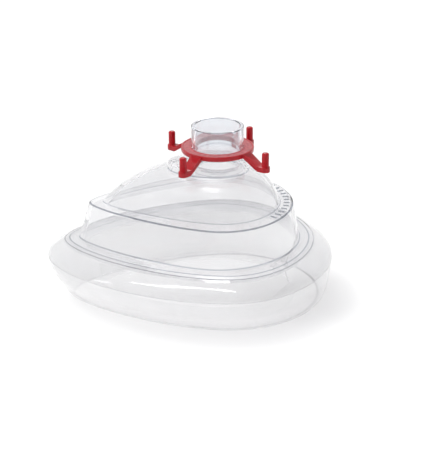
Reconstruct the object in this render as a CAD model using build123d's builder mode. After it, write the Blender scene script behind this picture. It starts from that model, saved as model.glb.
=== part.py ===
"""Clear air-cushion face mask of a bag valve mask set, with its hook ring.

+Z is up, +X runs to the chin end and -X to the nose end. The mask rests on its cushion at Z = 0.
All sizes are in millimetres.
"""

import os
from collections import namedtuple

from build123d import *

# Heights above the surface that the cushion rests on
mouth_height = 90.0
ring_top = 79.5
boss_top = 71.8
ledge_top = 50.2
flange_top = 31.2
flange_underside = 28.8
seam_height = 22.0
crest_height = 30.4

# Neck: 22 mm breathing socket
neck_x = 14.0
socket_outer_radius = 13.0
socket_bore_radius = 11.2
socket_length = 22.5
stop_lip_radius = 9.5
stop_lip_thickness = 1.5
shoulder_radius = 14.0
shoulder_thickness = 1.5
lug_reach = 0.9
lug_width = 1.8
lug_height = 2.0
lug_gap = 0.4
lug_angle = 46.0

# Hook ring and its four hooks
ring_outer_radius = 18.1
ring_thickness = 2.2
ring_clearance = 0.08
ring_play = 0.25
hook_count = 4
hook_angle = 53.2
hook_circle_radius = 28.4
hook_drop = 7.4
arm_thickness = 1.9
arm_root_width = 6.8
foot_radius = 2.3
foot_thickness = 2.6
foot_flat = 3.2
post_radius = 1.75
post_top = 81.6

# Shell
wall = 1.8
film = 1.0
dome_height = 19.0
dome_shares = (0.0, 0.2, 0.4, 0.57, 0.70, 0.81, 0.89, 0.94, 0.97)
rim_bevel_drop = 0.8
rim_bevel_width = 2.5

# An egg-shaped outline, measured from the neck's axis: reach to the nose end, reach to the chin end,
# half width, distance of the widest place from the axis towards the nose, and how full each quarter is.
Egg = namedtuple("Egg", "nose chin half_width widest nose_round nose_side chin_side chin_round")

boss = Egg(24.6, 15.6, 15.4, 0.5, 0.50, 0.50, 0.55, 0.55)
dome_foot = Egg(57.4, 31.6, 31.2, -2.9, 0.25, 0.30, 0.55, 0.50)
ledge_rim = Egg(64.5, 38.1, 39.9, -2.0, 0.25, 0.30, 0.55, 0.50)
skirt_foot = Egg(70.2, 41.8, 42.6, 0.0, 0.25, 0.30, 0.55, 0.50)
flange_rim = Egg(77.9, 49.1, 51.3, -5.5, 0.33, 0.43, 0.55, 0.45)
cushion_seam = Egg(86.7, 58.7, 60.0, -6.0, 0.42, 0.48, 0.55, 0.48)
cushion_foot = Egg(79.0, 56.6, 48.6, -7.0, 0.36, 0.38, 0.55, 0.52)
face_opening = Egg(60.0, 35.0, 33.0, -3.0, 0.35, 0.45, 0.55, 0.50)


def grown(egg, amount):
    """The outline moved outwards all round by an amount."""
    return egg._replace(
        nose=egg.nose + amount, chin=egg.chin + amount, half_width=egg.half_width + amount
    )


def mixed(first, second, share):
    """The outline that lies a share of the way from the first to the second."""
    return Egg(*(a + (b - a) * share for a, b in zip(first, second)))


def domed(share):
    """The dome's outline at a share of its height: it leans back to the nose and is steep elsewhere."""
    to_nose = (1 - share**1.15) ** 0.31
    to_chin = (1 - share**1.36) ** 0.32
    to_side = (1 - share**3.9) ** 0.455
    return dome_foot._replace(
        nose=dome_foot.nose * to_nose,
        chin=dome_foot.chin * to_chin,
        half_width=dome_foot.half_width * to_side,
        widest=dome_foot.widest * (1 - share),
        nose_round=dome_foot.nose_round + 0.37 * share,
        nose_side=dome_foot.nose_side + 0.22 * share,
    )


def egg_section(height, egg):
    """The egg as a flat section at a height, the same on both sides of the middle."""
    nose_x = neck_x - egg.nose
    chin_x = neck_x + egg.chin
    widest_x = neck_x - egg.widest
    side = egg.half_width
    with BuildSketch(Plane.XY.offset(height)) as section:
        with BuildLine():
            Bezier(
                (nose_x, 0),
                (nose_x, egg.nose_round * side),
                (widest_x - egg.nose_side * (egg.nose - egg.widest), side),
                (widest_x, side),
            )
            Bezier(
                (widest_x, side),
                (widest_x + egg.chin_side * (egg.chin + egg.widest), side),
                (chin_x, egg.chin_round * side),
                (chin_x, 0),
            )
            mirror(about=Plane.XZ)
        make_face()
    return section.sketch


def egg_loft(levels, mode=Mode.ADD, ruled=True):
    """Joins egg outlines, given as pairs of height and egg, into one solid."""
    sections = [egg_section(height, egg) for height, egg in levels]
    loft(sections=sections, ruled=ruled, mode=mode)


def lining(levels, amount, bottom, top):
    """The same levels moved in or out by the film's thickness and squeezed between two heights."""
    low = levels[0][0]
    high = levels[-1][0]
    squeeze = (top - bottom) / (high - low)
    return [(bottom + (height - low) * squeeze, grown(egg, amount)) for height, egg in levels]


# Clear socket: a straight tube with a stop lip at the bottom of its bore, a shoulder under the hook
# ring and a small lug over it.
socket_bottom = mouth_height - socket_length
ring_bottom = ring_top - ring_thickness
shoulder_top = ring_bottom - ring_play
lug_bottom = ring_top + lug_gap
with BuildPart() as connector_socket:
    with BuildSketch(Plane.XY.offset(socket_bottom)):
        with Locations((neck_x, 0)):
            Circle(socket_outer_radius)
    extrude(amount=socket_length)
    mouth_edge = connector_socket.edges().sort_by(Axis.Z)[-1]
    fillet(mouth_edge, 0.5)
    with BuildSketch(Plane.XY.offset(shoulder_top)):
        with Locations((neck_x, 0)):
            Circle(shoulder_radius)
    extrude(amount=-shoulder_thickness)
    with BuildSketch(Plane.XY.offset(lug_bottom)):
        with Locations((neck_x, 0)):
            with PolarLocations(socket_outer_radius, 1, start_angle=lug_angle):
                Rectangle(2 * lug_reach, lug_width)
    extrude(amount=lug_height)
    with BuildSketch(Plane.XY.offset(mouth_height)):
        with Locations((neck_x, 0)):
            Circle(socket_bore_radius)
    extrude(amount=-(socket_length - stop_lip_thickness), mode=Mode.SUBTRACT)
    with BuildSketch(Plane.XY.offset(socket_bottom)):
        with Locations((neck_x, 0)):
            Circle(stop_lip_radius)
    extrude(amount=socket_length, mode=Mode.SUBTRACT)
connector_socket.part.label = "connector_socket"

# Clear shell: dome on a ledge, flaring skirt, flat flange with a bevelled rim, and the flat boss
# that holds the socket.
dome_levels = [(ledge_top + share * dome_height, domed(share)) for share in dome_shares]
dome_inside = [(height - wall, grown(egg, -wall)) for height, egg in dome_levels]
boss_foot = ledge_top + 0.7 * dome_height
with BuildPart() as mask_shell:
    egg_loft([(flange_top, skirt_foot), (ledge_top, ledge_rim)])
    egg_loft(dome_levels, ruled=False)
    egg_loft([(boss_foot, boss), (boss_top, boss)])
    rim_bevel_bottom = flange_top - rim_bevel_drop
    egg_loft([(flange_underside, flange_rim), (rim_bevel_bottom, flange_rim)])
    egg_loft([(rim_bevel_bottom, flange_rim), (flange_top, grown(flange_rim, -rim_bevel_width))])
    egg_loft(
        [(flange_underside, grown(skirt_foot, -wall)), (ledge_top - wall, grown(ledge_rim, -wall))],
        mode=Mode.SUBTRACT,
    )
    egg_loft(dome_inside, mode=Mode.SUBTRACT, ruled=False)
    boss_inside = grown(boss, -wall)
    egg_loft([(boss_foot, boss_inside), (boss_top - wall, boss_inside)], mode=Mode.SUBTRACT)
    with BuildSketch(Plane.XY.offset(boss_top)):
        with Locations((neck_x, 0)):
            Circle(socket_outer_radius)
    extrude(amount=-(boss_top - ledge_top), mode=Mode.SUBTRACT)
mask_shell.part.label = "mask_shell"

# Red hook ring: one hook is a sloping arm with a rounded foot and an upright post.
foot_bottom = ring_bottom - hook_drop + arm_thickness
arm_plan_start = ring_outer_radius - 3.0
with BuildPart() as hook:
    with BuildSketch(Plane.XZ) as arm_side:
        with BuildLine():
            Polyline(
                (arm_plan_start, ring_top - 0.3),
                (ring_outer_radius - 0.6, ring_top - 0.3),
                (hook_circle_radius - foot_flat, foot_bottom + foot_thickness),
                (hook_circle_radius + foot_radius, foot_bottom + foot_thickness),
                (hook_circle_radius + foot_radius, foot_bottom),
                (hook_circle_radius - foot_flat, foot_bottom),
                (ring_outer_radius - 1.2, ring_bottom),
                (arm_plan_start, ring_bottom),
                close=True,
            )
        make_face()
    extrude(amount=arm_root_width, both=True)
    with BuildSketch(Plane.XY.offset(foot_bottom)) as arm_plan:
        with BuildLine():
            Polyline(
                (arm_plan_start, arm_root_width / 2),
                (hook_circle_radius, foot_radius),
                (hook_circle_radius, -foot_radius),
                (arm_plan_start, -arm_root_width / 2),
                close=True,
            )
        make_face()
        with Locations((hook_circle_radius, 0)):
            Circle(foot_radius)
    extrude(amount=post_top - foot_bottom, mode=Mode.INTERSECT)
    with BuildSketch(Plane.XY.offset(foot_bottom)):
        with Locations((hook_circle_radius, 0)):
            Circle(post_radius)
    extrude(amount=post_top - foot_bottom)
    post_end = hook.edges().sort_by(Axis.Z)[-1]
    fillet(post_end, post_radius * 0.55)

with BuildPart() as hook_ring:
    with BuildSketch(Plane.XY.offset(ring_bottom)):
        with Locations((neck_x, 0)):
            Circle(ring_outer_radius)
    extrude(amount=ring_thickness)
    top_edge = hook_ring.edges().sort_by(Axis.Z)[-1]
    fillet(top_edge, 0.5)
    with Locations((neck_x, 0)):
        with PolarLocations(0, hook_count, start_angle=hook_angle):
            add(hook.part)
    with BuildSketch(Plane.XY.offset(foot_bottom)):
        with Locations((neck_x, 0)):
            Circle(socket_outer_radius + ring_clearance)
    extrude(amount=mouth_height, mode=Mode.SUBTRACT)
hook_ring.part.label = "hook_ring"

# Soft cushion: two formed film skins with air between them, welded along the seam. Each skin is its
# outside less its air space.
throat = grown(skirt_foot, -3.0)
waist = mixed(throat, face_opening, 0.6)

upper_rise = crest_height - seam_height
upper_outside = [
    (seam_height, cushion_seam),
    (seam_height + 0.22 * upper_rise, mixed(cushion_seam, flange_rim, 0.06)),
    (seam_height + 0.45 * upper_rise, mixed(cushion_seam, flange_rim, 0.20)),
    (seam_height + 0.68 * upper_rise, mixed(cushion_seam, flange_rim, 0.45)),
    (seam_height + 0.85 * upper_rise, mixed(cushion_seam, flange_rim, 0.68)),
    (crest_height, mixed(cushion_seam, flange_rim, 0.88)),
]
air_top = crest_height - film
upper_air_outside = lining(upper_outside, -film, seam_height, air_top)
with BuildPart() as upper_air:
    egg_loft(upper_air_outside)
    egg_loft(
        [(flange_underside - film, grown(flange_rim, film)), (air_top, grown(flange_rim, film))],
        mode=Mode.SUBTRACT,
    )
    egg_loft(
        [(seam_height, grown(waist, film)), (flange_underside, grown(throat, film))],
        mode=Mode.SUBTRACT,
    )

# Upper half: from the seam up round the flange's rim, which lies bonded in its recess.
with BuildPart() as cushion_upper:
    egg_loft(upper_outside)
    egg_loft([(flange_underside, flange_rim), (crest_height, flange_rim)], mode=Mode.SUBTRACT)
    egg_loft([(seam_height, waist), (flange_underside, throat)], mode=Mode.SUBTRACT)
    add(upper_air.part, mode=Mode.SUBTRACT)
cushion_upper.part.label = "cushion_upper"

lower_outside = [
    (0.0, grown(cushion_foot, -3.5)),
    (1.2, grown(cushion_foot, -1.2)),
    (4.0, cushion_foot),
    (12.0, mixed(cushion_foot, cushion_seam, 0.58)),
    (seam_height, cushion_seam),
]
lower_inside = [
    (0.0, grown(face_opening, 4.0)),
    (3.0, grown(face_opening, 1.6)),
    (8.0, grown(face_opening, 0.4)),
    (14.0, face_opening),
    (seam_height, waist),
]
with BuildPart() as lower_air:
    egg_loft(lining(lower_outside, -film, film, seam_height))
    egg_loft(lining(lower_inside, film, film, seam_height), mode=Mode.SUBTRACT)

# Lower half: it narrows towards the face, rests flat and bulges a little into the face opening.
with BuildPart() as cushion_lower:
    egg_loft(lower_outside)
    egg_loft(lower_inside, mode=Mode.SUBTRACT)
    add(lower_air.part, mode=Mode.SUBTRACT)
cushion_lower.part.label = "cushion_lower"

os.makedirs("parts", exist_ok=True)
export_step(connector_socket.part, "parts/connector_socket.step")
export_step(mask_shell.part, "parts/mask_shell.step")
export_step(hook_ring.part, "parts/hook_ring.step")
export_step(cushion_upper.part, "parts/cushion_upper.step")
export_step(cushion_lower.part, "parts/cushion_lower.step")
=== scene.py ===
"""Looks of a clear air-cushion face mask: moulded shell, socket, red hook ring and film cushion.

Points are worked out in millimetres in the part's own frame, and make_piece turns them into metres.
"""

import math
from collections import namedtuple

import bmesh
import bpy
from mathutils import Matrix, Vector
from mathutils.bvhtree import BVHTree


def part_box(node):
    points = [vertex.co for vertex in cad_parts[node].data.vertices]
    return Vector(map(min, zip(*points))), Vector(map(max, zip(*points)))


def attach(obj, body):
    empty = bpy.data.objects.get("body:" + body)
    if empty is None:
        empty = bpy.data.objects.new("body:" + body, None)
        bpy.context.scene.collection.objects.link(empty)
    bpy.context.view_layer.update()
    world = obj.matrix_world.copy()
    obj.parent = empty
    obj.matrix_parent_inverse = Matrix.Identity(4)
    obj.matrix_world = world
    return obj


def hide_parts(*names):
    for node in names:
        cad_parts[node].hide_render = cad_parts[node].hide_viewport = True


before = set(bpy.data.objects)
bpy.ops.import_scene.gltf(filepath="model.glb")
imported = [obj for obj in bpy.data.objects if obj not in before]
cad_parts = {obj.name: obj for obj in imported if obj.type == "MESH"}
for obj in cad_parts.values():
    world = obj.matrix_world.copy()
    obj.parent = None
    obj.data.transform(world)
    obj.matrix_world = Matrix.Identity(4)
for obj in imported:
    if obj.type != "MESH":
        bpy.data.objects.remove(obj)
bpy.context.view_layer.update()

MM = 0.001
UP = Vector((0, 0, 1))

# Places read from the frame, in millimetres
socket_low, socket_high = (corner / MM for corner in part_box("connector_socket"))
shell_low, shell_high = (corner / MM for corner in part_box("mask_shell"))
hook_low, hook_high = (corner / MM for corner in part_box("hook_ring"))
upper_low, upper_high = (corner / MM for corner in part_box("cushion_upper"))
neck_x = (socket_low.x + socket_high.x) / 2
mouth_height = socket_high.z
socket_bottom = socket_low.z
boss_top = shell_high.z
flange_underside = shell_low.z
crest_height = upper_high.z
seam_height = upper_low.z
post_top = hook_high.z
foot_bottom = hook_low.z

# Sizes that the design gives, in millimetres
ledge_top = 50.2
flange_top = 31.2
dome_height = 19.0
wall = 1.8
rim_bevel_drop = 0.8
rim_bevel_width = 2.5
socket_outer_radius = 12.95
socket_bore_radius = 11.2
stop_lip_radius = 9.5
stop_lip_thickness = 1.5
shoulder_radius = 14.0
shoulder_thickness = 1.5
ring_top = 79.5
ring_thickness = 2.2
ring_inner_radius = 13.08
ring_outer_radius = 18.1
hook_angle = 53.2
hook_circle_radius = 28.4
foot_radius = 2.3
foot_thickness = 2.6
foot_flat = 3.2
post_radius = 1.75
film = 0.45

# An egg-shaped outline, measured from the neck's axis: reach to the nose end, reach to the chin end,
# half width, distance of the widest place from the axis towards the nose, and the reach of its curves'
# handles, as shares of the half width at the two ends and of the distance to an end at the sides.
Egg = namedtuple("Egg", "nose chin half_width widest nose_round nose_side chin_side chin_round")

boss = Egg(24.6, 15.6, 15.4, 0.5, 0.50, 0.50, 0.55, 0.55)
dome_foot = Egg(57.4, 31.6, 31.2, -2.9, 0.25, 0.30, 0.55, 0.50)
ledge_rim = Egg(64.5, 38.1, 39.9, -2.0, 0.25, 0.30, 0.55, 0.50)
skirt_foot = Egg(70.2, 41.8, 42.6, 0.0, 0.25, 0.30, 0.55, 0.50)
flange_rim = Egg(77.9, 49.1, 51.3, -5.5, 0.33, 0.43, 0.55, 0.45)
cushion_seam = Egg(86.7, 58.7, 60.0, -6.0, 0.42, 0.48, 0.55, 0.48)
cushion_foot = Egg(79.0, 56.6, 48.6, -7.0, 0.36, 0.38, 0.55, 0.52)
face_opening = Egg(60.0, 35.0, 33.0, -3.0, 0.35, 0.45, 0.55, 0.50)

NOSE_COLUMNS = 60
CHIN_COLUMNS = 48
ROUND_COLUMNS = 24
CORNER_STEPS = 5
CIRCLE_FULLNESS = 0.5523


def circle(radius):
    """A circle round the neck's axis, as an egg."""
    return Egg(radius, radius, radius, 0, *[CIRCLE_FULLNESS] * 4)


def grown(egg, amount):
    """The outline moved outwards all round by an amount."""
    return egg._replace(
        nose=egg.nose + amount, chin=egg.chin + amount, half_width=egg.half_width + amount
    )


def mixed(first, second, share):
    """The outline that lies a share of the way from the first to the second."""
    return Egg(*(a + (b - a) * share for a, b in zip(first, second)))


def domed(share):
    """The dome's outline at a share of its height: it leans back to the nose and is steep elsewhere."""
    to_nose = (1 - share**1.15) ** 0.31
    to_chin = (1 - share**1.36) ** 0.32
    to_side = (1 - share**3.9) ** 0.455
    return dome_foot._replace(
        nose=dome_foot.nose * to_nose,
        chin=dome_foot.chin * to_chin,
        half_width=dome_foot.half_width * to_side,
        widest=dome_foot.widest * (1 - share),
        nose_round=dome_foot.nose_round + 0.37 * share,
        nose_side=dome_foot.nose_side + 0.22 * share,
    )


def bezier(corners, share):
    """A point on the cubic curve with these four corners."""
    rest = 1 - share
    weights = (rest**3, 3 * rest**2 * share, 3 * rest * share**2, share**3)
    return sum((corner * weight for corner, weight in zip(corners, weights)), Vector((0, 0, 0)))


def ring(height, egg, nose_columns=NOSE_COLUMNS, chin_columns=CHIN_COLUMNS):
    """The egg at a height as a closed row of points, from the nose end round by +Y and the chin end."""
    nose_x = neck_x - egg.nose
    chin_x = neck_x + egg.chin
    widest_x = neck_x - egg.widest
    side = egg.half_width
    nose_quarter = [
        Vector((nose_x, 0, height)),
        Vector((nose_x, egg.nose_round * side, height)),
        Vector((widest_x - egg.nose_side * (egg.nose - egg.widest), side, height)),
        Vector((widest_x, side, height)),
    ]
    chin_quarter = [
        Vector((widest_x, side, height)),
        Vector((widest_x + egg.chin_side * (egg.chin + egg.widest), side, height)),
        Vector((chin_x, egg.chin_round * side, height)),
        Vector((chin_x, 0, height)),
    ]
    half = [bezier(nose_quarter, i / nose_columns) for i in range(nose_columns)]
    half += [bezier(chin_quarter, i / chin_columns) for i in range(chin_columns + 1)]
    mirrored = [Vector((p.x, -p.y, p.z)) for p in reversed(half[1:-1])]
    return half + mirrored


def round_ring(height, radius):
    """A circle round the neck's axis as a closed row of points."""
    return ring(height, circle(radius), ROUND_COLUMNS, ROUND_COLUMNS)


def toward(start, end, distance):
    """The point a distance from the start towards the end, at most nearly half way."""
    way = end - start
    if way.length < 1e-6:
        return start.copy()
    return start + way * min(distance / way.length, 0.48)


def corner_rows(before, corner, after, radius):
    """Rows that round off a corner row between its two neighbours, column by column."""
    rows = []
    for step in range(CORNER_STEPS + 1):
        share = step / CORNER_STEPS
        row = []
        for a, c, b in zip(before, corner, after):
            start = toward(c, a, radius)
            end = toward(c, b, radius)
            row.append(start * (1 - share) ** 2 + c * 2 * share * (1 - share) + end * share**2)
        rows.append(row)
    return rows


def softened(profile):
    """The rows of a closed profile, given as row, radius and any slots, with its corners rounded off."""
    rows = []
    for index, (row, radius, *_) in enumerate(profile):
        if radius == 0:
            rows.append(row)
        else:
            before = profile[index - 1][0]
            after = profile[(index + 1) % len(profile)][0]
            rows += corner_rows(before, row, after, radius)
    return rows


def face_slots(profile):
    """The slot of the faces after each softened row: the corner's own, then the next stretch's."""
    slots = []
    for _, radius, corner, stretch in profile:
        if radius:
            slots += [corner] * CORNER_STEPS
        slots.append(stretch)
    return slots


def give_slots(piece, profile):
    """Sets the material slots of a lattice made from a softened profile."""
    slots = face_slots(profile)
    columns = len(profile[0][0])
    for face in piece.data.polygons:
        face.material_index = slots[face.index // columns]


def give_materials(piece, materials):
    """Fills a piece's material slots in order."""
    for material in materials:
        piece.data.materials.append(material)


def make_piece(name, points, faces, solid=True):
    """A smooth mesh object from points in millimetres. A solid's faces are turned outwards."""
    mesh = bpy.data.meshes.new(name)
    mesh.from_pydata([p * MM for p in points], [], faces)
    if solid:
        build = bmesh.new()
        build.from_mesh(mesh)
        bmesh.ops.recalc_face_normals(build, faces=build.faces)
        build.to_mesh(mesh)
        build.free()
    mesh.polygons.foreach_set("use_smooth", [True] * len(mesh.polygons))
    piece = bpy.data.objects.new(name, mesh)
    bpy.context.scene.collection.objects.link(piece)
    return piece


def lattice_faces(row_count, columns, closed):
    """The quads between rows that each run once round, and back to the first row if closed."""
    faces = []
    for r in range(row_count if closed else row_count - 1):
        low = r * columns
        high = (r + 1) % row_count * columns
        for c in range(columns):
            after = (c + 1) % columns
            faces.append((low + c, low + after, high + after, high + c))
    return faces


def lattice(name, rows, closed=True, capped=False):
    """A piece through rows of points: joined back to the first row, capped at both ends, or a sheet."""
    columns = len(rows[0])
    points = [point for row in rows for point in row]
    faces = lattice_faces(len(rows), columns, closed)
    if capped:
        faces.append(tuple(range(columns)))
        faces.append(tuple(range(len(points) - columns, len(points))))
    return make_piece(name, points, faces, solid=closed or capped)


def applied(piece):
    """Turns a piece's modifiers into its mesh."""
    graph = bpy.context.evaluated_depsgraph_get()
    mesh = bpy.data.meshes.new_from_object(piece.evaluated_get(graph))
    piece.modifiers.clear()
    piece.data = mesh
    return piece


def united(name, parts):
    """One closed piece from several that overlap."""
    whole = parts[0]
    for part in parts[1:]:
        union = whole.modifiers.new("union", "BOOLEAN")
        union.operation = "UNION"
        union.solver = "EXACT"
        union.object = part
    applied(whole)
    for part in parts[1:]:
        bpy.data.objects.remove(part)
    whole.name = name
    return whole


# ---------------------------------------------------------------- shell

# Material slots: the shell has all six and the socket the first four
# The last slot is the wall made darker on the dome, the ledge and the flange's top: painted shade.
# The two edge slots put dark plastic on rounded corners: painted shade for the dark lines of a clear
# edge.
WALL, EDGE_SHADE, FAINT_EDGE_SHADE, BONDED, LINING, SHADED_WALL = range(6)
DOME_ROWS = 16
CROWN_ROWS = 5
CROWN_START = 0.86  # the share of the dome's height where the dome's rows end and the crown's begin
CAP_SHARES = (0.80, 0.84, 0.88, 0.91, 0.935, 0.955, 0.97, 0.985)  # levels of the cap the crown lies on
SOCKET_HOLE_GAP = 0.05


def dome_row(share, depth):
    """The dome's row at a share of its height, a depth inside its outer face."""
    return ring(ledge_top - depth + share * dome_height, grown(domed(share), -depth))


def dome_rows(depth):
    """The dome's rows from just over its foot to where its crown begins, closer together at the top."""
    turns = [math.pi / 2 * i / DOME_ROWS for i in range(1, DOME_ROWS + 1)]
    return [dome_row(CROWN_START * math.sin(turn), depth) for turn in turns]


def crown_rows(depth, foot):
    """Rows on the dome's top, from its last row in to the row on the foot's outline."""
    cap = [dome_row(share, depth) for share in CAP_SHARES]
    columns = len(cap[0])
    points = [point for row in cap for point in row]
    faces = lattice_faces(len(cap), columns, closed=False)
    faces.append(tuple(range(len(points) - columns, len(points))))
    surface = BVHTree.FromPolygons(points, faces)
    start = ring(0, grown(domed(CROWN_START), -depth))
    end = ring(0, foot)
    rows = []
    for i in range(1, CROWN_ROWS + 1):
        row = []
        for outer, inner in zip(start, end):
            above = outer.lerp(inner, i / CROWN_ROWS)
            above.z = mouth_height
            row.append(surface.ray_cast(above, -UP)[0])
        rows.append(row)
    return rows


def shell_profile():
    """The shell's section all round: up the outside to the socket's hole and down the inside.

    An entry is a row, its corner's radius, the corner's slot and the slot of the faces up to the next.
    """
    throat_rim = grown(skirt_foot, -wall)
    socket_hole = circle(socket_outer_radius + SOCKET_HOLE_GAP)
    profile = [
        (ring(flange_underside, throat_rim), 0.4, LINING, LINING),
        (ring(flange_underside, flange_rim), 0.15, BONDED, BONDED),
        (ring(flange_top - rim_bevel_drop, flange_rim), 0.3, EDGE_SHADE, SHADED_WALL),
        (ring(flange_top, grown(flange_rim, -rim_bevel_width)), 0.4, FAINT_EDGE_SHADE, SHADED_WALL),
        (ring(flange_top, skirt_foot), 0.5, FAINT_EDGE_SHADE, WALL),
        (ring(ledge_top, ledge_rim), 0.6, EDGE_SHADE, SHADED_WALL),
        (ring(ledge_top, dome_foot), 0.35, FAINT_EDGE_SHADE, SHADED_WALL),
    ]
    profile += [(row, 0, SHADED_WALL, SHADED_WALL) for row in dome_rows(0)]
    crown = crown_rows(0, boss)
    profile += [(row, 0, SHADED_WALL, SHADED_WALL) for row in crown[:-1]]
    profile += [
        (crown[-1], 0.45, FAINT_EDGE_SHADE, LINING),
        (ring(boss_top, boss), 0.9, LINING, LINING),
        (ring(boss_top, socket_hole), 0.3, LINING, LINING),
        (ring(boss_top - wall, socket_hole), 0.3, LINING, LINING),
        (ring(boss_top - wall, grown(boss, -wall)), 0.6, LINING, LINING),
    ]
    lining = crown_rows(wall, grown(boss, -wall))
    profile.append((lining[-1], 0.3, LINING, LINING))
    profile += [(row, 0, LINING, LINING) for row in reversed(lining[:-1])]
    profile += [(row, 0, LINING, LINING) for row in reversed(dome_rows(wall))]
    profile += [
        (ring(ledge_top - wall, grown(dome_foot, -wall)), 0.25, LINING, LINING),
        (ring(ledge_top - wall, grown(ledge_rim, -wall)), 0.4, LINING, LINING),
    ]
    return profile


def make_shell(plastics):
    """The shell, with the slots of its stretches and corners."""
    profile = shell_profile()
    shell = lattice("mask_shell_clear", softened(profile))
    give_materials(shell, plastics)
    give_slots(shell, profile)
    return shell


RIB_COUNT = 12
RIB_FIRST_ANGLE = -40.0
RIB_LAST_ANGLE = 34.0
RIB_INNER_INSET = 1.8
RIB_OUTER_INSET = 1.7
RIB_HALF = 0.32
RIB_RISE = 0.45
RIB_SINK = 0.1
RIB_END = 0.3  # the length over which an end of a rib falls off


def reach_of(row, heading):
    """How far a row of points lies from the neck's axis in a direction."""
    axis = Vector((neck_x, 0, ledge_top))
    nearest = max(row, key=lambda point: (point - axis).normalized().dot(heading))
    return (nearest - axis).length


def rib_section(middle, across, size):
    """The five corners of a rib's section, at full size or smaller."""
    shoulder = 0.6 * RIB_RISE * size
    corners = ((-1, -RIB_SINK), (-1, shoulder), (0, RIB_RISE * size), (1, shoulder), (1, -RIB_SINK))
    return [middle + across * side * RIB_HALF * size + UP * lift for side, lift in corners]


def make_ledge_ribs():
    """Plain radial ribs standing on the ledge round the chin end."""
    points = []
    faces = []
    inner = ring(ledge_top, grown(dome_foot, RIB_INNER_INSET))
    outer = ring(ledge_top, grown(ledge_rim, -RIB_OUTER_INSET))
    axis = Vector((neck_x, 0, ledge_top))
    for index in range(RIB_COUNT):
        share = index / (RIB_COUNT - 1)
        angle = math.radians(RIB_FIRST_ANGLE + (RIB_LAST_ANGLE - RIB_FIRST_ANGLE) * share)
        heading = Vector((math.cos(angle), math.sin(angle), 0))
        across = Vector((-heading.y, heading.x, 0))
        start = reach_of(inner, heading)
        end = reach_of(outer, heading)
        base = len(points)
        stations = ((start, 0.5), (start + RIB_END, 1.0), (end - RIB_END, 1.0), (end, 0.5))
        rows = [rib_section(axis + heading * reach, across, size) for reach, size in stations]
        for row in rows:
            points += row
        corners = len(rows[0])
        rib = lattice_faces(len(rows), corners, closed=False)
        rib.append(tuple(range(corners)))
        rib.append(tuple(range((len(rows) - 1) * corners, len(rows) * corners)))
        faces += [tuple(base + corner for corner in face) for face in rib]
    return make_piece("ledge_ribs", points, faces)


# ---------------------------------------------------------------- socket

RING_PLAY = 0.25  # between the shoulder and the hook ring
LUG_ANGLE = 46.0
LUG_GAP = 0.4  # between the hook ring and the lug
LUG_HEIGHT = 2.0
LUG_MARGIN = 0.25  # to the rows that keep the lug's faces apart from the rest of the tube
LUG_SIDES = 16
LUG_BULGE = 1.05  # its half depth, as a share of its half width
LUG_SINK = 0.2  # its middle's depth inside the tube's outer face


def make_socket(plastics):
    """The clear tube with its stop lip, its shoulder and its lug."""
    shoulder_top = ring_top - ring_thickness - RING_PLAY
    shoulder_bottom = shoulder_top - shoulder_thickness
    lip_top = socket_bottom + stop_lip_thickness
    lug_bottom = ring_top + LUG_GAP
    lug_top = lug_bottom + LUG_HEIGHT
    profile = [
        (round_ring(socket_bottom, socket_outer_radius), 0.5, FAINT_EDGE_SHADE, BONDED),
        (round_ring(shoulder_bottom, socket_outer_radius), 0.25, BONDED, BONDED),
        (round_ring(shoulder_bottom, shoulder_radius), 0.3, FAINT_EDGE_SHADE, BONDED),
        (round_ring(shoulder_top, shoulder_radius), 0.3, BONDED, BONDED),
        (round_ring(shoulder_top, socket_outer_radius), 0.1, BONDED, WALL),
        (round_ring(lug_bottom - LUG_MARGIN, socket_outer_radius), 0, WALL, WALL),
        (round_ring(lug_top + LUG_MARGIN, socket_outer_radius), 0, WALL, WALL),
        (round_ring(mouth_height, socket_outer_radius), 0.35, FAINT_EDGE_SHADE, WALL),
        (round_ring(mouth_height, socket_bore_radius), 0.35, FAINT_EDGE_SHADE, WALL),
        (round_ring(shoulder_bottom, socket_bore_radius), 0, BONDED, BONDED),
        (round_ring(lip_top, socket_bore_radius), 0.3, BONDED, BONDED),
        (round_ring(lip_top, stop_lip_radius), 0.3, FAINT_EDGE_SHADE, BONDED),
        (round_ring(socket_bottom, stop_lip_radius), 0.3, BONDED, BONDED),
    ]
    tube = lattice("socket_tube", softened(profile))
    give_materials(tube, plastics)
    give_slots(tube, profile)
    return united("socket_clear", [tube, make_lug(plastics)])


def make_lug(plastics):
    """The small rounded lug on the tube's outside, over the hook ring."""
    lug_bottom = ring_top + LUG_GAP
    levels = ((0, 0.5), (0.2, 0.8), (0.5, 0.95), (1.5, 0.95), (1.8, 0.8), (LUG_HEIGHT, 0.5))
    turned = Matrix.Rotation(math.radians(LUG_ANGLE), 3, "Z")
    rows = []
    for height, half in levels:
        row = []
        for step in range(LUG_SIDES):
            turn = 2 * math.pi * step / LUG_SIDES
            outwards = socket_outer_radius - LUG_SINK + half * LUG_BULGE * math.cos(turn)
            point = Vector((outwards, half * math.sin(turn), lug_bottom + height))
            row.append(turned @ point + Vector((neck_x, 0, 0)))
        rows.append(row)
    lug = lattice("lug", rows, closed=False, capped=True)
    give_materials(lug, plastics)
    return lug


# ---------------------------------------------------------------- hook ring

HOOK_COUNT = 4
RECESS_DEPTH = 0.2
RECESS_OUTER_RIM = 0.9
RECESS_INNER_RIM = 0.5
ARM_ROOT_HALF = 3.4
ARM_START_INSET = 3.0
ARM_EDGE_BEVEL = 0.28
FOOT_STEPS = 8
POST_SIDES = 32


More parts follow.
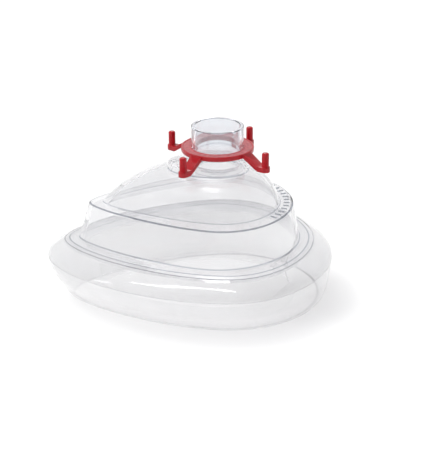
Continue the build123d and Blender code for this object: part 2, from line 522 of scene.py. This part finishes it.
def make_ring_body():
    """The flat ring, with a shallow recess in its top that gets the matt red with its painted sheen."""
    bottom = ring_top - ring_thickness
    floor = ring_top - RECESS_DEPTH
    outer_rim = ring_outer_radius - RECESS_OUTER_RIM
    inner_rim = ring_inner_radius + RECESS_INNER_RIM
    profile = [
        (round_ring(bottom, ring_inner_radius), 0.2),
        (round_ring(bottom, ring_outer_radius), 0.4),
        (round_ring(ring_top, ring_outer_radius), 0.45),
        (round_ring(ring_top, outer_rim), 0.15),
        (round_ring(floor, outer_rim - 0.25), 0.15),
        (round_ring(floor, inner_rim + 0.2), 0.15),
        (round_ring(ring_top, inner_rim), 0.15),
        (round_ring(ring_top, ring_inner_radius), 0.2),
    ]
    return lattice("ring_body", softened(profile))


def arm_stations():
    """Along one hook's arm, from the ring outwards: radius, half width, underside and top."""
    bottom = ring_top - ring_thickness
    foot_top = foot_bottom + foot_thickness
    bend = hook_circle_radius - foot_flat
    start = ring_outer_radius - ARM_START_INSET
    taper = (ARM_ROOT_HALF - foot_radius) / (hook_circle_radius - start)
    sides = [
        (start, bottom + 0.2, ring_top - 0.3),
        (ring_outer_radius - 0.9, bottom + 0.05, ring_top - 0.3),
        (ring_outer_radius - 0.2, bottom - 0.45, ring_top - 0.55),
        (bend - 0.7, foot_bottom + 0.5, foot_top + 0.4),
        (bend, foot_bottom + 0.12, foot_top + 0.1),
        (bend + 0.7, foot_bottom, foot_top),
        (hook_circle_radius, foot_bottom, foot_top),
    ]
    stations = [(r, ARM_ROOT_HALF - (r - start) * taper, low, high) for r, low, high in sides]
    for step in range(1, FOOT_STEPS):
        turn = math.pi / 2 * step / FOOT_STEPS
        reach = hook_circle_radius + foot_radius * math.sin(turn)
        stations.append((reach, foot_radius * math.cos(turn), foot_bottom, foot_top))
    return stations


def make_arm(name):
    """One hook's sloping arm and rounded foot, with softened edges."""
    rows = []
    for reach, half, low, high in arm_stations():
        corners = ((-half, low), (half, low), (half, high), (-half, high))
        rows.append([Vector((reach, y, z)) for y, z in corners])
    arm = lattice(name, rows, closed=False, capped=True)
    bevel = arm.modifiers.new("soft_edges", "BEVEL")
    bevel.width = ARM_EDGE_BEVEL * MM
    bevel.segments = 3
    bevel.angle_limit = math.radians(50)
    return applied(arm)


def make_post(name):
    """One upright post with a rounded top and a small fillet at the foot."""
    foot_top = foot_bottom + foot_thickness
    levels = [
        (foot_top - 0.5, post_radius + 0.35),
        (foot_top, post_radius + 0.35),
        (foot_top + 0.12, post_radius + 0.15),
        (foot_top + 0.4, post_radius),
        (post_top - 0.9, post_radius),
        (post_top - 0.5, post_radius - 0.1),
        (post_top - 0.2, post_radius - 0.4),
        (post_top - 0.05, post_radius - 0.8),
        (post_top, post_radius - 1.3),
    ]
    rows = []
    for height, radius in levels:
        row = []
        for step in range(POST_SIDES):
            turn = 2 * math.pi * step / POST_SIDES
            around = Vector((math.cos(turn), math.sin(turn), 0)) * radius
            row.append(Vector((hook_circle_radius, 0, height)) + around)
        rows.append(row)
    return lattice(name, rows, closed=False, capped=True)


def make_hook_ring(reds):
    """The ring with its four hooks as one moulding, glossy but for the recess in its top, which is matt
    and painted a lighter pink as sheen.
    """
    parts = [make_ring_body()]
    for index in range(HOOK_COUNT):
        angle = hook_angle + 360 / HOOK_COUNT * index
        turned = Matrix.Rotation(math.radians(angle), 4, "Z")
        placed = Matrix.Translation((neck_x * MM, 0, 0)) @ turned
        for part in (make_arm(f"arm_{index}"), make_post(f"post_{index}")):
            part.data.transform(placed)
            parts.append(part)
    hooks = united("hook_ring_red", parts)
    give_materials(hooks, reds)
    for face in hooks.data.polygons:
        middle = face.center / MM
        reach = math.hypot(middle.x - neck_x, middle.y)
        on_ring = ring_inner_radius < reach < ring_outer_radius - 1.0 and middle.z > ring_top - 0.4
        # The ring's upward faces get the matt red: rough, and painted a lighter pink as sheen.
        face.material_index = 1 if on_ring and face.normal.z > 0.9 else 0
    return hooks


# ---------------------------------------------------------------- cushion

FILM, INNER_FILM, BONDED_FILM, CONTACT_SHADE_FILM = range(4)  # the material slots of both skins
SKIN_STEPS = 6
RIPPLE = 0.35  # how much of the film's unevenness a skin has
SWELL = 0.16
CREASE = 0.035
BOND_GAP = 0.2  # between the flange and the film under it
SEAM_GAP = 0.03  # from the seam's height to either skin
THROAT_INSET = 3.0
WAIST_SHARE = 0.6  # how far the waist has come from the throat to the face opening

throat = grown(skirt_foot, -THROAT_INSET)
waist = mixed(throat, face_opening, WAIST_SHARE)


def smoothed(stations):
    """More stations, on a smooth curve through the given pairs of height and egg."""
    flat = [(height, *egg) for height, egg in stations]
    padded = [flat[0]] + flat + [flat[-1]]
    result = []
    for a, b, c, d in zip(padded, padded[1:], padded[2:], padded[3:]):
        for step in range(SKIN_STEPS):
            t = step / SKIN_STEPS
            row = []
            for p, q, r, s in zip(a, b, c, d):
                bend = 2 * p - 5 * q + 4 * r - s
                twist = 3 * q - p - 3 * r + s
                row.append(0.5 * (2 * q + (r - p) * t + bend * t**2 + twist * t**3))
            result.append((row[0], Egg(*row[1:])))
    result.append(stations[-1])
    return result


def rippled(row, strength):
    """A row with the film's unevenness: slow swells round the cushion and shallow creases along it."""
    moved = []
    for p in row:
        out = Vector((p.x - neck_x, p.y, 0)).normalized()
        turn = math.atan2(out.y, out.x)
        swell = math.sin(3 * turn + 0.7) + 0.6 * math.sin(7 * turn + 0.25 * p.z)
        crease = math.sin(1.8 * p.z + 1.5 * math.sin(2 * turn + 0.4)) * (0.6 + 0.4 * math.sin(5 * turn))
        moved.append(p + out * (SWELL * swell + CREASE * crease) * strength)
    return moved


def make_skin(name, stations, slots, films):
    """A film skin with the film's real thickness. Its section runs down the outside, so faces look out.

    The slots are pairs of a first station and the slot of the faces from there on.
    """
    rows = []
    dense = smoothed(stations)
    for index, (height, egg) in enumerate(dense):
        fade = math.sin(math.pi * index / (len(dense) - 1))
        rows.append(rippled(ring(height, egg), RIPPLE * fade))
    skin = lattice(name, rows, closed=False)
    give_materials(skin, films)
    for station, slot in slots:
        first = station * SKIN_STEPS * len(rows[0])
        for face in skin.data.polygons[first:]:
            face.material_index = slot
    thick = skin.modifiers.new("film", "SOLIDIFY")
    thick.thickness = film * MM
    thick.offset = -1
    return applied(skin)


def make_cushion(upper_films, lower_films):
    """The two skins: the upper from the throat out to the seam, the lower on from there to the throat."""
    rise = crest_height - seam_height
    under = flange_underside - BOND_GAP
    upper = [
        (under, throat),
        (under, grown(flange_rim, -3.0)),
        (under, grown(flange_rim, -0.8)),
        (crest_height - 0.7, grown(flange_rim, 0.1)),
        (crest_height, grown(flange_rim, 0.2)),
        (crest_height - 0.3, mixed(cushion_seam, flange_rim, 0.88)),
        (seam_height + 0.85 * rise, mixed(cushion_seam, flange_rim, 0.68)),
        (seam_height + 0.68 * rise, mixed(cushion_seam, flange_rim, 0.45)),
        (seam_height + 0.45 * rise, mixed(cushion_seam, flange_rim, 0.20)),
        (seam_height + 0.22 * rise, mixed(cushion_seam, flange_rim, 0.06)),
        (seam_height + SEAM_GAP, cushion_seam),
    ]
    lower = [
        (seam_height - SEAM_GAP, cushion_seam),
        (17.5, mixed(cushion_foot, cushion_seam, 0.88)),
        (12.0, mixed(cushion_foot, cushion_seam, 0.60)),
        (6.0, mixed(cushion_foot, cushion_seam, 0.15)),
        (2.6, grown(cushion_foot, -0.7)),
        (0.9, grown(cushion_foot, -2.0)),
        (0.15, grown(cushion_foot, -3.8)),
        (0.05, grown(cushion_foot, -5.2)),
        (0.05, grown(face_opening, 6.0)),
        (0.3, grown(face_opening, 4.6)),
        (2.0, grown(face_opening, 2.8)),
        (7.0, grown(face_opening, 0.8)),
        (14.0, face_opening),
        (seam_height, waist),
        (flange_underside - 0.9, grown(throat, 0.1)),
    ]
    upper_slots = [(0, BONDED_FILM), (4, FILM)]
    lower_slots = [(0, FILM), (6, CONTACT_SHADE_FILM), (7, BONDED_FILM), (11, INNER_FILM)]
    upper_skin = make_skin("cushion_upper_skin", upper, upper_slots, upper_films)
    lower_skin = make_skin("cushion_lower_skin", lower, lower_slots, lower_films)
    return upper_skin, lower_skin


# ---------------------------------------------------------------- materials

def new_material(name):
    """An empty node material: its nodes, its links and its output."""
    material = bpy.data.materials.new(name)
    material.use_nodes = True
    tree = material.node_tree
    tree.nodes.clear()
    output = tree.nodes.new("ShaderNodeOutputMaterial")
    return material, tree.nodes, tree.links, output


def add_bump(nodes, links, height, shader, distance):
    """Turns a height into small relief on a shader."""
    bump = nodes.new("ShaderNodeBump")
    bump.inputs["Distance"].default_value = distance
    bump.inputs["Strength"].default_value = 1.0
    links.new(height, bump.inputs["Height"])
    links.new(bump.outputs["Normal"], shader.inputs["Normal"])


def object_noise(nodes, links, scale, detail, stretch=(1, 1, 1)):
    """Noise fixed to the object, at a scale per metre."""
    place = nodes.new("ShaderNodeTexCoord")
    mapping = nodes.new("ShaderNodeMapping")
    mapping.inputs["Scale"].default_value = stretch
    texture = nodes.new("ShaderNodeTexNoise")
    texture.inputs["Scale"].default_value = scale
    texture.inputs["Detail"].default_value = detail
    links.new(place.outputs["Object"], mapping.inputs["Vector"])
    links.new(mapping.outputs["Vector"], texture.inputs["Vector"])
    return texture.outputs["Fac"]


# The look of a clear plastic. Its relief is in metres and rough is its lowest and highest roughness. Its
# tint colours the light through it; in the edge, darker wall and contact looks the tint is painted shade.
Clear = namedtuple(
    "Clear", "tint ior haze gloss gloss_rough shadow_tint relief relief_scale stretch rough"
)


def clear_material(name, look):
    """Clear plastic: it refracts for the eye and lets shadow and diffuse light straight through."""
    material, nodes, links, output = new_material(name)
    shader = nodes.new("ShaderNodeBsdfPrincipled")
    shader.inputs["Base Color"].default_value = (*look.tint, 1)
    shader.inputs["Transmission Weight"].default_value = 1.0 - look.haze
    shader.inputs["IOR"].default_value = look.ior
    shader.inputs["Coat Weight"].default_value = look.gloss
    shader.inputs["Coat IOR"].default_value = 1.5
    shader.inputs["Coat Roughness"].default_value = look.gloss_rough
    unevenness = object_noise(nodes, links, look.relief_scale, 3, look.stretch)
    add_bump(nodes, links, unevenness, shader, look.relief)
    spread = nodes.new("ShaderNodeMapRange")
    spread.inputs["To Min"].default_value, spread.inputs["To Max"].default_value = look.rough
    links.new(object_noise(nodes, links, look.relief_scale * 3, 2), spread.inputs["Value"])
    links.new(spread.outputs["Result"], shader.inputs["Roughness"])
    passing = nodes.new("ShaderNodeBsdfTransparent")
    passing.inputs["Color"].default_value = (*look.shadow_tint, 1)
    path = nodes.new("ShaderNodeLightPath")
    either = nodes.new("ShaderNodeMath")
    either.operation = "MAXIMUM"
    links.new(path.outputs["Is Shadow Ray"], either.inputs[0])
    links.new(path.outputs["Is Diffuse Ray"], either.inputs[1])
    blend = nodes.new("ShaderNodeMixShader")
    links.new(either.outputs["Value"], blend.inputs["Fac"])
    links.new(shader.outputs["BSDF"], blend.inputs[1])
    links.new(passing.outputs["BSDF"], blend.inputs[2])
    links.new(blend.outputs["Shader"], output.inputs["Surface"])
    return material


def red_material(name, *, rough, gloss, grain, grain_scale, pale, deep):
    """Moulded red plastic with a fine grain and slight colour variation."""
    material, nodes, links, output = new_material(name)
    shader = nodes.new("ShaderNodeBsdfPrincipled")
    shader.inputs["IOR"].default_value = 1.5
    shader.inputs["Specular IOR Level"].default_value = gloss
    shade = nodes.new("ShaderNodeValToRGB")
    shade.color_ramp.elements[0].position = 0.3
    shade.color_ramp.elements[0].color = (*deep, 1)
    shade.color_ramp.elements[1].position = 0.7
    shade.color_ramp.elements[1].color = (*pale, 1)
    links.new(object_noise(nodes, links, 900, 3), shade.inputs["Fac"])
    links.new(shade.outputs["Color"], shader.inputs["Base Color"])
    fine = object_noise(nodes, links, grain_scale, 2)
    spread = nodes.new("ShaderNodeMapRange")
    spread.inputs["To Min"].default_value, spread.inputs["To Max"].default_value = rough
    links.new(fine, spread.inputs["Value"])
    links.new(spread.outputs["Result"], shader.inputs["Roughness"])
    add_bump(nodes, links, fine, shader, grain)
    links.new(shader.outputs["BSDF"], output.inputs["Surface"])
    return material


def floor_material():
    """Plain pale floor with a very slight variation in brightness."""
    material, nodes, links, output = new_material("floor_white")
    shader = nodes.new("ShaderNodeBsdfDiffuse")
    shade = nodes.new("ShaderNodeValToRGB")
    shade.color_ramp.elements[0].color = (0.88, 0.88, 0.88, 1)
    shade.color_ramp.elements[1].color = (0.89, 0.89, 0.89, 1)
    links.new(object_noise(nodes, links, 3, 2), shade.inputs["Fac"])
    links.new(shade.outputs["Color"], shader.inputs["Color"])
    links.new(shader.outputs["BSDF"], output.inputs["Surface"])
    return material


# ---------------------------------------------------------------- stage, light and camera

FLOOR_RADIUS = 6000
FLOOR_SIDES = 96
FLOOR_HEIGHT = -0.15


def make_floor():
    """A large round floor just under the cushion."""
    rim = []
    for step in range(FLOOR_SIDES):
        turn = 2 * math.pi * step / FLOOR_SIDES
        rim.append(Vector((FLOOR_RADIUS * math.cos(turn), FLOOR_RADIUS * math.sin(turn), FLOOR_HEIGHT)))
    floor = make_piece("floor", rim, [tuple(range(FLOOR_SIDES))])
    floor.data.materials.append(floor_material())


def make_world():
    """Studio surroundings: bright behind the mask and low down, darker overhead and in front."""
    world = bpy.data.worlds.new("studio")
    bpy.context.scene.world = world
    world.use_nodes = True
    nodes = world.node_tree.nodes
    links = world.node_tree.links
    background = nodes["Background"]
    place = nodes.new("ShaderNodeTexCoord")
    backwards = nodes.new("ShaderNodeVectorMath")
    backwards.operation = "DOT_PRODUCT"
    backwards.inputs[1].default_value = (0, 0.85, -0.5)
    share = nodes.new("ShaderNodeMapRange")
    share.inputs["From Min"].default_value = -0.9
    share.inputs["From Max"].default_value = 0.3
    shade = nodes.new("ShaderNodeValToRGB")
    ramp = shade.color_ramp
    ramp.elements[0].color = (0.17, 0.17, 0.175, 1)
    ramp.elements[1].color = (0.98, 0.98, 0.985, 1)
    links.new(place.outputs["Generated"], backwards.inputs[0])
    links.new(backwards.outputs["Value"], share.inputs["Value"])
    links.new(share.outputs["Result"], shade.inputs["Fac"])
    links.new(shade.outputs["Color"], background.inputs["Color"])
    background.inputs["Strength"].default_value = 1.0


STRIP_DISTANCE = 0.9  # metres


def add_lamp(name, kind, energy):
    """A new light and its object, at the origin."""
    light = bpy.data.lights.new(name, kind)
    light.energy = energy
    lamp = bpy.data.objects.new(name, light)
    bpy.context.scene.collection.objects.link(lamp)
    return light, lamp


def add_sun(name, direction, spread, strength):
    """Even light over the whole floor from a direction, as from a large softbox far away."""
    light, lamp = add_lamp(name, "SUN", strength)
    light.angle = math.radians(spread)
    lamp.rotation_euler = Vector(direction).to_track_quat("Z", "Y").to_euler()
    lamp.visible_glossy = False
    lamp.visible_transmission = False


def add_strip(name, direction, along, length, width, radiance):
    """A softbox that only shows as a highlight. Its length, along a direction, and width are angles."""
    away = Vector(direction).normalized()
    side = Vector(along).normalized()
    side = (side - away * side.dot(away)).normalized()
    size = 2 * STRIP_DISTANCE * math.tan(math.radians(length) / 2)
    size_across = 2 * STRIP_DISTANCE * math.tan(math.radians(width) / 2)
    light, lamp = add_lamp(name, "AREA", radiance * size * size_across * math.pi)
    light.shape = "RECTANGLE"
    light.size = size
    light.size_y = size_across
    place = Vector((neck_x, 0, ledge_top)) * MM + away * STRIP_DISTANCE
    turned = Matrix((side, away.cross(side), away)).transposed()
    lamp.matrix_world = Matrix.Translation(place) @ turned.to_4x4()
    lamp.visible_diffuse = False
    lamp.visible_transmission = False


def make_lights():
    """Three suns light the floor and the mask; three strips give the highlights on the plastic."""
    add_sun("overhead", (-0.05, 0.22, 0.97), spread=30, strength=0.5)
    add_sun("key", (-0.50, 0.10, 0.86), spread=20, strength=1.72)
    add_sun("front_fill", (-0.20, -0.90, 0.35), spread=40, strength=0.8)
    add_strip("top_strip", (-0.05, 0.50, 0.86), (0, 0.86, -0.50), length=54, width=10, radiance=6.5)
    add_strip("front_strip", (-0.24, -0.22, 0.95), (-0.60, 0.26, 0), length=44, width=2.2, radiance=13)
    add_strip("left_strip", (-0.88, -0.30, 0.36), (0.4, 0, 1), length=18, width=5, radiance=4)


CAMERA_REACH = 0.55  # metres
CAMERA_OVER_MOUTH = 0.1822  # metres
CAMERA_PITCH = math.radians(23.62)
CAMERA_TURN = math.radians(1.35)
CAMERA_LENS = 90.3
CAMERA_SENSOR = 36.0


def make_camera():
    """A long lens, in front of the neck's axis and looking down at the mask."""
    data = bpy.data.cameras.new("camera")
    data.lens = CAMERA_LENS
    data.sensor_width = CAMERA_SENSOR
    camera = bpy.data.objects.new("camera", data)
    forward = Vector((math.sin(CAMERA_TURN), math.cos(CAMERA_TURN), 0))
    over_axis = Vector((neck_x * MM, 0, mouth_height * MM + CAMERA_OVER_MOUTH))
    camera.location = over_axis - forward * CAMERA_REACH
    camera.rotation_euler = (math.pi / 2 - CAMERA_PITCH, 0, -CAMERA_TURN)
    bpy.context.scene.collection.objects.link(camera)
    bpy.context.scene.camera = camera


def dress(piece, body, slot, *nodes):
    """Puts a piece on its body, in the place of CAD nodes. The slot of the record is not used."""
    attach(piece, body)
    if nodes:
        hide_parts(*nodes)


# ---------------------------------------------------------------- the mask and its scene

wall_look = Clear(
    tint=(0.92, 0.921, 0.928), ior=1.035, haze=0.07, gloss=1.0, gloss_rough=0.08,
    shadow_tint=(0.93, 0.93, 0.935), relief=0.000008, relief_scale=60,
    stretch=(1, 1, 1), rough=(0.0, 0.02),
)
# A darker copy of the wall for the dome, the ledge and the flange's top: painted shade.
shaded_wall_look = wall_look._replace(tint=(0.82, 0.822, 0.832), gloss_rough=0.2)
lining_look = wall_look._replace(gloss=0.0)
# Dark tints for the rounded corners and the ribs: painted shade, the dark lines of a clear edge.
edge_shade_look = wall_look._replace(tint=(0.16, 0.175, 0.21), gloss=0.25)
faint_edge_shade_look = edge_shade_look._replace(tint=(0.40, 0.43, 0.48))
bonded_look = wall_look._replace(ior=1.02, haze=0.05, gloss=0.0)
tube_look = wall_look._replace(tint=(0.82, 0.84, 0.875), ior=1.4, gloss_rough=0.02)

# Both skins are one film: the upper skin's tint, darker than the lower skin's, is painted shade.
film_look = Clear(
    tint=(0.862, 0.862, 0.870), ior=1.05, haze=0.17, gloss=1.0, gloss_rough=0.06,
    shadow_tint=(0.975, 0.975, 0.975), relief=0.00004, relief_scale=25,
    stretch=(1, 1, 4), rough=(0.02, 0.06),
)
lower_film_look = film_look._replace(
    tint=(0.915, 0.915, 0.921), haze=0.21, shadow_tint=(0.94, 0.94, 0.94)
)
# A dark band of film where the cushion bends down onto the table: painted shade along the contact line.
contact_shade_look = film_look._replace(tint=(0.60, 0.60, 0.615), ior=1.01, haze=0.08, gloss=0.0)
hidden_film_look = contact_shade_look._replace(shadow_tint=(0.99, 0.99, 0.99))
inner_film_look = hidden_film_look._replace(tint=(0.999, 0.999, 0.999), haze=0.02)
bonded_film_look = hidden_film_look._replace(tint=(0.955, 0.955, 0.956), haze=0.09)

wall_plastic = clear_material("clear_wall_plastic", wall_look)
shaded_wall_plastic = clear_material("clear_wall_painted_shade", shaded_wall_look)
lining_plastic = clear_material("clear_lining_plastic", lining_look)
edge_shade_plastic = clear_material("clear_edge_painted_shade", edge_shade_look)
faint_edge_shade_plastic = clear_material("clear_faint_edge_painted_shade", faint_edge_shade_look)
bonded_plastic = clear_material("clear_bonded_plastic", bonded_look)
tube_plastic = clear_material("clear_tube_plastic", tube_look)
upper_film = clear_material("clear_film_upper", film_look)
lower_film = clear_material("clear_film_lower", lower_film_look)
inner_film = clear_material("clear_inner_film", inner_film_look)
bonded_film = clear_material("clear_bonded_film", bonded_film_look)
contact_shade_film = clear_material("clear_contact_painted_shade", contact_shade_look)
red_gloss = red_material(
    "red_plastic_gloss", rough=(0.16, 0.28), gloss=0.35, grain=0.00002, grain_scale=2500,
    pale=(0.44, 0.005, 0.013), deep=(0.33, 0.003, 0.008),
)
# The matt red's roughness and grain are the plastic's own; its lighter pink colour is painted sheen.
red_matt_sheen = red_material(
    "red_plastic_matt_painted_sheen", rough=(0.5, 0.7), gloss=0.5, grain=0.00015, grain_scale=1800,
    pale=(0.54, 0.13, 0.14), deep=(0.26, 0.035, 0.045),
)

edge_shades_and_bonded = [edge_shade_plastic, faint_edge_shade_plastic, bonded_plastic]
shell = make_shell([wall_plastic, *edge_shades_and_bonded, lining_plastic, shaded_wall_plastic])
dress(shell, "mask", "clear_shell", "mask_shell")

ribs = make_ledge_ribs()
# The ribs are in the faint edge plastic: painted shade that marks them out.
give_materials(ribs, [faint_edge_shade_plastic])
dress(ribs, "mask", "clear_shell")

socket = make_socket([tube_plastic, *edge_shades_and_bonded])
dress(socket, "mask", "clear_shell", "connector_socket")

hooks = make_hook_ring([red_gloss, red_matt_sheen])
dress(hooks, "hook_ring", "red_plastic", "hook_ring")

inside = [inner_film, bonded_film, contact_shade_film]
upper_skin, lower_skin = make_cushion([upper_film, *inside], [lower_film, *inside])
for skin, node in ((upper_skin, "cushion_upper"), (lower_skin, "cushion_lower")):
    dress(skin, "mask", "cushion_film", node)

make_floor()
make_world()
make_lights()
make_camera()
bpy.context.scene.view_settings.view_transform = "Standard"
bpy.context.scene.cycles.max_bounces = 32
bpy.context.scene.cycles.transmission_bounces = 32
bpy.context.scene.cycles.transparent_max_bounces = 64
